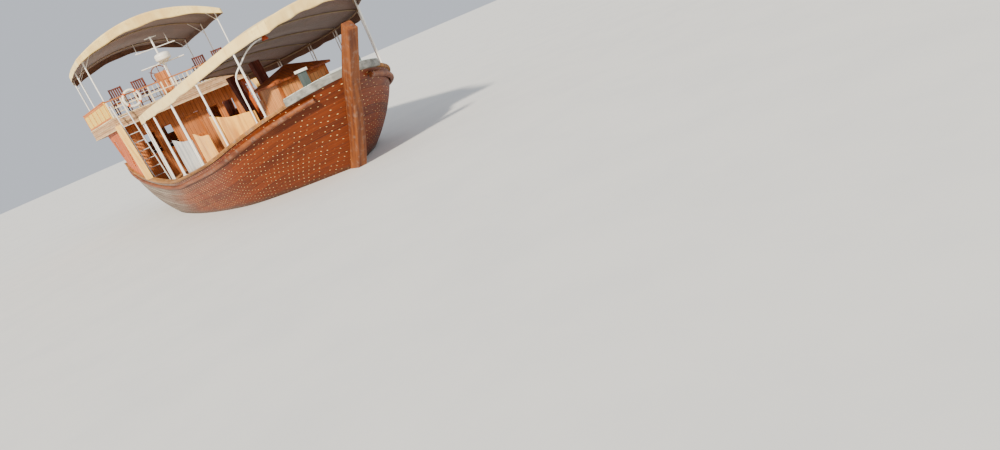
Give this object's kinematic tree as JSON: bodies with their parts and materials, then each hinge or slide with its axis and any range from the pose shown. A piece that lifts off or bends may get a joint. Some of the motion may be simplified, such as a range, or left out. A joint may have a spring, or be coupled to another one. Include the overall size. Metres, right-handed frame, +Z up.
{
  "type": "wooden motor dhow",
  "caption": "Wooden passenger dhow with raked stem, two canvas awnings, raised upper deck aft, rudder and propeller; afloat to its waterline.",
  "frame": {"origin": "on the waterline, on the centreline amidships", "axes": "+X towards the bow, +Y to port, +Z up"},
  "size_m": [19.5021, 5.8218, 8.699],
  "materials": {
    "planking": "oiled, with rows of nail heads",
    "timber_light": "weathered oil",
    "timber_dark": "dark oil",
    "deck_wood": "bare planks",
    "yellow_paint": "yellow varnish",
    "white_paint": "white gloss paint",
    "grey_paint": "pale grey paint, worn",
    "canvas": "cream canvas",
    "canvas_grey": "grey canvas",
    "steel": "galvanised",
    "bronze": "cast and dulled",
    "buoy": "faded"
  },
  "bodies": {
    "boat": {"hull": "planking", "transom_board": "planking", "bulwark_starboard": "planking", "bulwark_port": "planking", "stem_block": "planking", "keel_and_sternpost": "timber_dark", "stem_post": "timber_light", "main_deck": "deck_wood", "cap_rail": "timber_light", "rub_strake": "timber_light", "bow_platform": "grey_paint", "bitt_starboard": "white_paint", "bitt_port": "white_paint", "companion_walls": "timber_light", "companion_roof": "timber_dark", "deck_locker": "timber_light", "hatch_coaming": "timber_light", "king_post_aft": "timber_dark", "king_post_fore": "timber_dark", "awning_portal_1": "white_paint", "awning_portal_2": "white_paint", "awning_portal_3": "white_paint", "awning_portal_4": "white_paint", "awning_portal_5": "white_paint", "awning_portal_6": "white_paint", "awning_front_bow": "white_paint", "awning_edge_starboard": "white_paint", "awning_edge_port": "white_paint", "lower_awning": "canvas", "lamp_pole": "white_paint", "screen_tan_fore": "canvas", "screen_tan_aft": "canvas", "screen_grey": "canvas_grey", "upper_deck": "timber_light", "corner_post_starboard": "yellow_paint", "corner_post_port": "yellow_paint", "cabin_side_starboard": "timber_light", "cabin_side_port": "timber_light", "cabin_front": "timber_dark", "cabin_aft": "timber_light", "ladder": "steel", "panel_starboard": "yellow_paint", "panel_port": "yellow_paint", "upper_rail_front": "yellow_paint", "upper_rail_aft": "yellow_paint", "upper_portal_1": "white_paint", "upper_portal_2": "white_paint", "upper_portal_3": "white_paint", "upper_awning": "canvas", "antenna_mast": "white_paint", "radome": "white_paint", "helm_pedestal": "timber_dark", "lifebuoy": "buoy"},
    "rudder": {"rudder": "timber_dark"},
    "propeller": {"propeller": "bronze"},
    "helm_wheel": {"helm_wheel": "timber_light"},
    "companion_door": {"companion_door": "timber_light"},
    "cabin_door": {"cabin_door": "timber_dark"},
    "hatch_lid": {"hatch_lid": "timber_light"}
  },
  "joints": [
    {"name": "rudder_steer", "type": "hinge", "parent": "boat", "child": "rudder", "pos_m": [-7.087, 0, -0.08085], "axis": [-0.4442, 0, 0.8959], "range_deg": [-35, 35]},
    {"name": "propeller_spin", "type": "hinge", "parent": "boat", "child": "propeller", "pos_m": [-5.79, 0, -1.06], "axis": [1, 0, 0], "continuous": true},
    {"name": "helm_turn", "type": "hinge", "parent": "boat", "child": "helm_wheel", "pos_m": [-5.99, 0, 4.83], "axis": [1, 0, 0], "range_deg": [-540, 540]},
    {"name": "companion_door_swing", "type": "hinge", "parent": "boat", "child": "companion_door", "pos_m": [5.273, 0.765, 1.96], "axis": [0, 0, 1], "range_deg": [0, 110]},
    {"name": "cabin_door_swing", "type": "hinge", "parent": "boat", "child": "cabin_door", "pos_m": [-5.225, 0.427, 2.1], "axis": [0, 0, 1], "range_deg": [0, 110]},
    {"name": "hatch_lid_lift", "type": "hinge", "parent": "boat", "child": "hatch_lid", "pos_m": [-1.74, 0, 0.8818], "axis": [0, -1, 0], "range_deg": [0, 100]}
  ],
  "couplings": [
    {"joint": "helm_turn", "follows": "rudder_steer", "ratio": 15.429}
  ]
}
